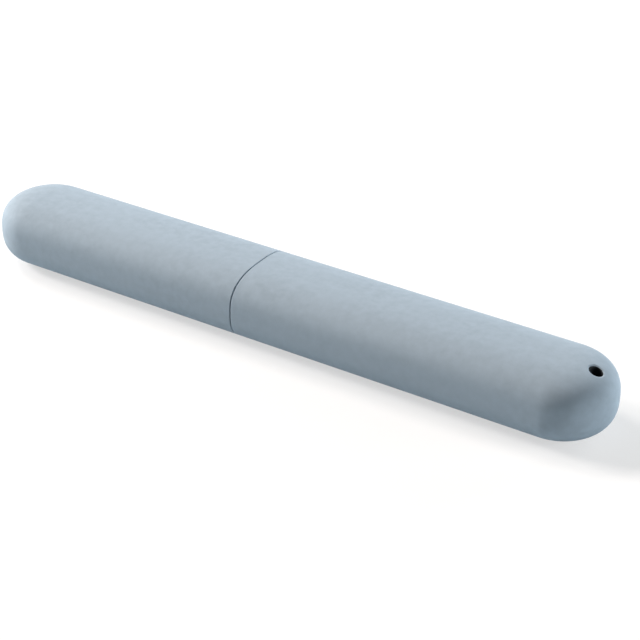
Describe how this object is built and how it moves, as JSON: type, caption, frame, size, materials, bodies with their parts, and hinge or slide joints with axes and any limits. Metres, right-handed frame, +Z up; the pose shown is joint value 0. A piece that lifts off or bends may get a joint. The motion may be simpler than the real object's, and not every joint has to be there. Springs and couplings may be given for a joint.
{
  "type": "lens cleaning pen",
  "caption": "Oval pill-shaped lens cleaning pen: two pull-off shells over a wand with a swivelling carbon tip and a soft dusting brush, and a lanyard hole.",
  "frame": {"origin": "on the flat underside, below the middle of the closed pen", "axes": "+X along the pen towards the lanyard end, +Y across its width, +Z up"},
  "size_m": [0.126, 0.0192, 0.0128],
  "materials": {
    "shell_plastic": "soft-touch blue-grey with a fine grain",
    "liner_plastic": "pale grey, satin moulded",
    "dark_plastic": "charcoal, fine spark texture",
    "grip_rubber": "black, matte",
    "pin_steel": "ground",
    "nylon": "natural nylon",
    "ferrule_metal": "satin, drawn and crimped",
    "goat_hair": "soft hair, dark brown",
    "foam": "open-cell foam",
    "suede": "carbon-dressed suede, black",
    "felt": "pressed felt with carbon powder"
  },
  "bodies": {
    "body": {"body_shell": "shell_plastic", "body_liner": "liner_plastic"},
    "wand": {"wand_collar": "dark_plastic", "cap_grip_ring": "grip_rubber", "body_grip_ring": "grip_rubber", "cross_pins": "pin_steel", "tip_stem": "dark_plastic", "swivel_pin": "pin_steel", "swivel_washers": "nylon", "brush_plug": "dark_plastic", "brush_ferrule": "ferrule_metal", "brush_bristles": "goat_hair"},
    "tip_head": {"tip_carrier": "dark_plastic", "tip_foam": "foam", "tip_pad": "suede", "pad_ring": "shell_plastic"},
    "cap": {"cap_shell": "shell_plastic", "cap_liner": "liner_plastic", "recharge_cup": "dark_plastic", "recharge_felt": "felt"}
  },
  "joints": [
    {"name": "wand_pull", "type": "slide", "parent": "body", "child": "wand", "axis": [-1, 0, 0], "range_m": [0, 0.058]},
    {"name": "cap_pull", "type": "slide", "parent": "wand", "child": "cap", "axis": [-1, 0, 0], "range_m": [0, 0.048]},
    {"name": "tip_tilt", "type": "hinge", "parent": "wand", "child": "tip_head", "pos_m": [-0.0371, 0, 0.0064], "axis": [0, 0, 1], "range_deg": [-15, 15]}
  ]
}
